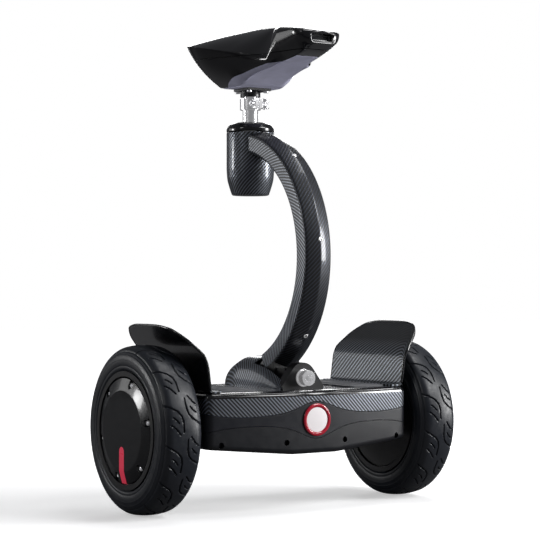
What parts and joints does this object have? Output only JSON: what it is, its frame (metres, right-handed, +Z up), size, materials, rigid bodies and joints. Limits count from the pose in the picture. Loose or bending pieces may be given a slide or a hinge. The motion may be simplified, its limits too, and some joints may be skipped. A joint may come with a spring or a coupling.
{
  "type": "seated self-balancing scooter",
  "caption": "Seated self-balancing scooter: hub-motor wheels either side of a foot deck, and a C-shaped leaning stem carrying a saddle on a sliding post.",
  "frame": {"origin": "on the floor midway between the two tyre contact patches, under the axle line", "axes": "+X along the axle to the right-hand wheel as seen from the front, -Y towards the badged front, +Z up"},
  "size_m": [0.5518, 0.295, 0.765],
  "materials": {
    "carbon_shell": "woven carbon pattern film under clear gloss",
    "light_carbon": "lighter woven carbon pattern film",
    "black_gloss": "gloss black moulded plastic",
    "satin_grey": "satin dark grey moulded plastic",
    "satin_black": "satin black moulded plastic",
    "grey_rubber": "ribbed grey rubber",
    "black_rubber": "soft black rubber",
    "tyre_rubber": "black tyre rubber",
    "black_paint": "black powder coat",
    "black_steel": "black oxide steel",
    "bright_steel": "turned steel",
    "chrome_bright": "polished chrome",
    "cast_alloy": "cast aluminium",
    "bronze_bush": "sintered bronze",
    "winding_steel": "laminated steel with copper windings",
    "battery_wrap": "blue heat-shrink wrap",
    "green_board": "circuit board",
    "red_gloss": "red gloss plastic",
    "pearl_lens": "pearl white reflector lens",
    "red_lens": "red lamp lens",
    "lavender_plate": "matte grey moulded plastic with a violet cast",
    "gloss_pad": "glossy black coated foam"
  },
  "bodies": {
    "chassis": {"chassis_frame": "cast_alloy", "deck_cover": "carbon_shell", "mid_band": "satin_grey", "belly_pan": "satin_black", "left_foot_mat": "grey_rubber", "right_foot_mat": "grey_rubber", "left_fender": "carbon_shell", "right_fender": "carbon_shell", "belly_screws": "black_steel", "badge_bezel": "red_gloss", "badge_lens": "pearl_lens", "stem_cowl": "carbon_shell", "pivot_bracket": "black_paint", "bracket_screws": "bright_steel", "pivot_bushes": "bronze_bush", "lean_stops": "black_rubber", "battery_pack": "battery_wrap", "control_board": "green_board", "wheel_axles": "bright_steel", "motor_stators": "winding_steel", "axle_clamps": "cast_alloy", "tail_light": "red_lens", "charge_socket": "satin_black"},
    "left_wheel": {"left_tyre": "tyre_rubber", "left_rim": "black_paint", "left_hub_cover": "black_gloss", "left_hub_screws": "black_steel", "left_motor_cover": "black_paint", "left_bearings": "bright_steel", "left_magnet_ring": "winding_steel"},
    "right_wheel": {"right_tyre": "tyre_rubber", "right_rim": "black_paint", "right_hub_cover": "black_gloss", "right_hub_screws": "black_steel", "right_motor_cover": "black_paint", "right_bearings": "bright_steel", "right_magnet_ring": "winding_steel"},
    "stem": {"stem_tube": "bright_steel", "stem_rear_cover": "light_carbon", "stem_front_cover": "carbon_shell", "stem_cover_screws": "chrome_bright", "stem_foot": "black_paint", "foot_screws": "chrome_bright", "pivot_bolt": "chrome_bright", "post_socket": "cast_alloy", "housing_shell": "carbon_shell", "housing_collar": "black_gloss", "seat_tube": "chrome_bright", "clamp_collar": "chrome_bright", "clamp_skewer": "bright_steel"},
    "lever": {"clamp_lever": "chrome_bright"},
    "seat": {"seat_post": "chrome_bright", "saddle_clamp": "black_paint", "saddle_base": "lavender_plate", "saddle_shell": "black_gloss", "saddle_pad": "gloss_pad", "saddle_screws": "bright_steel"},
    "button": {"power_button": "red_gloss"},
    "charge_flap": {"charge_cap": "black_rubber"}
  },
  "joints": [
    {"name": "left_wheel_spin", "type": "hinge", "parent": "chassis", "child": "left_wheel", "pos_m": [-0.2375, 0, 0.129], "axis": [1, 0, 0], "continuous": true},
    {"name": "right_wheel_spin", "type": "hinge", "parent": "chassis", "child": "right_wheel", "pos_m": [0.2375, 0, 0.129], "axis": [1, 0, 0], "continuous": true},
    {"name": "stem_lean", "type": "hinge", "parent": "chassis", "child": "stem", "pos_m": [0, 0, 0.2047], "axis": [0, 1, 0], "range_deg": [-12, 12], "stiffness_Nm_per_rad": 150},
    {"name": "seat_height", "type": "slide", "parent": "stem", "child": "seat", "axis": [0, 0, 1], "range_m": [0, 0.08]},
    {"name": "clamp_lever_open", "type": "hinge", "parent": "stem", "child": "lever", "pos_m": [0.014, 0.0535, 0.643], "axis": [0, 0, 1], "range_deg": [-130, 0]},
    {"name": "power_button_press", "type": "slide", "parent": "chassis", "child": "button", "axis": [0, -1, 0], "range_m": [0, 0.0012], "stiffness_N_per_m": 800},
    {"name": "charge_flap_open", "type": "hinge", "parent": "chassis", "child": "charge_flap", "pos_m": [0.07, 0.1185, 0.1545], "axis": [1, 0, 0], "range_deg": [0, 110]}
  ]
}
